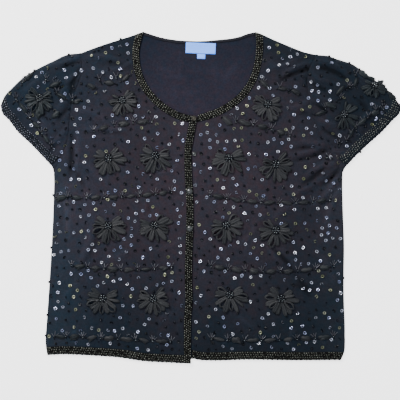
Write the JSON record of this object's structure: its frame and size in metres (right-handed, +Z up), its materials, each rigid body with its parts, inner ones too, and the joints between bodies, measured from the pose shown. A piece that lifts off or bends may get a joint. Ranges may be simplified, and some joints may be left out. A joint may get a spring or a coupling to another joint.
{
  "type": "beaded cardigan",
  "caption": "Short-sleeved knitted cardigan with a round neck, beaded edge bands, ribbon flowers and sequins, closed with small buttons and laid flat.",
  "frame": {"origin": "middle of the laid garment's bounding box, on the surface that it lies on", "axes": "+X across the garment towards the wearer's left sleeve, +Y from the hem to the neck, +Z up from the surface"},
  "size_m": [0.679, 0.562, 0.0103],
  "materials": {
    "knit": "very dark fine knit, purplish brown at the middle and navy towards the edges, soft sheen",
    "beaded_band": "dark band sewn over with a lattice of thin gold brown bugles and pale seed beads",
    "ribbon": "narrow dark grey satin ribbon, soft sheen",
    "sequin_silver": "cupped lilac silver sequins, bright gloss",
    "sequin_gold": "cupped gold green sequins, bright gloss",
    "dark_bead": "black round beads and sequins, glossy",
    "seed_bead": "small pale metallic seed beads and bugles, glossy",
    "button_grey": "shiny grey domed buttons with a soft pearl gloss",
    "button_brass": "small dull gold button",
    "label_cloth": "pale blue white woven label, bare"
  },
  "bodies": {
    "root": {"back": "knit", "right_front": "knit", "left_front": "knit", "right_sleeve": "knit", "left_sleeve": "knit", "back_neck_binding": "knit", "right_neck_trim": "beaded_band", "left_neck_trim": "beaded_band", "right_edge_trim": "beaded_band", "right_hem_trim": "beaded_band", "left_hem_trim": "beaded_band", "right_cuff_trim": "beaded_band", "left_cuff_trim": "beaded_band", "button_1": "button_brass", "button_2": "button_grey", "button_3": "button_grey", "button_4": "button_grey", "label": "label_cloth", "size_tab": "label_cloth"}
  },
  "joints": []
}
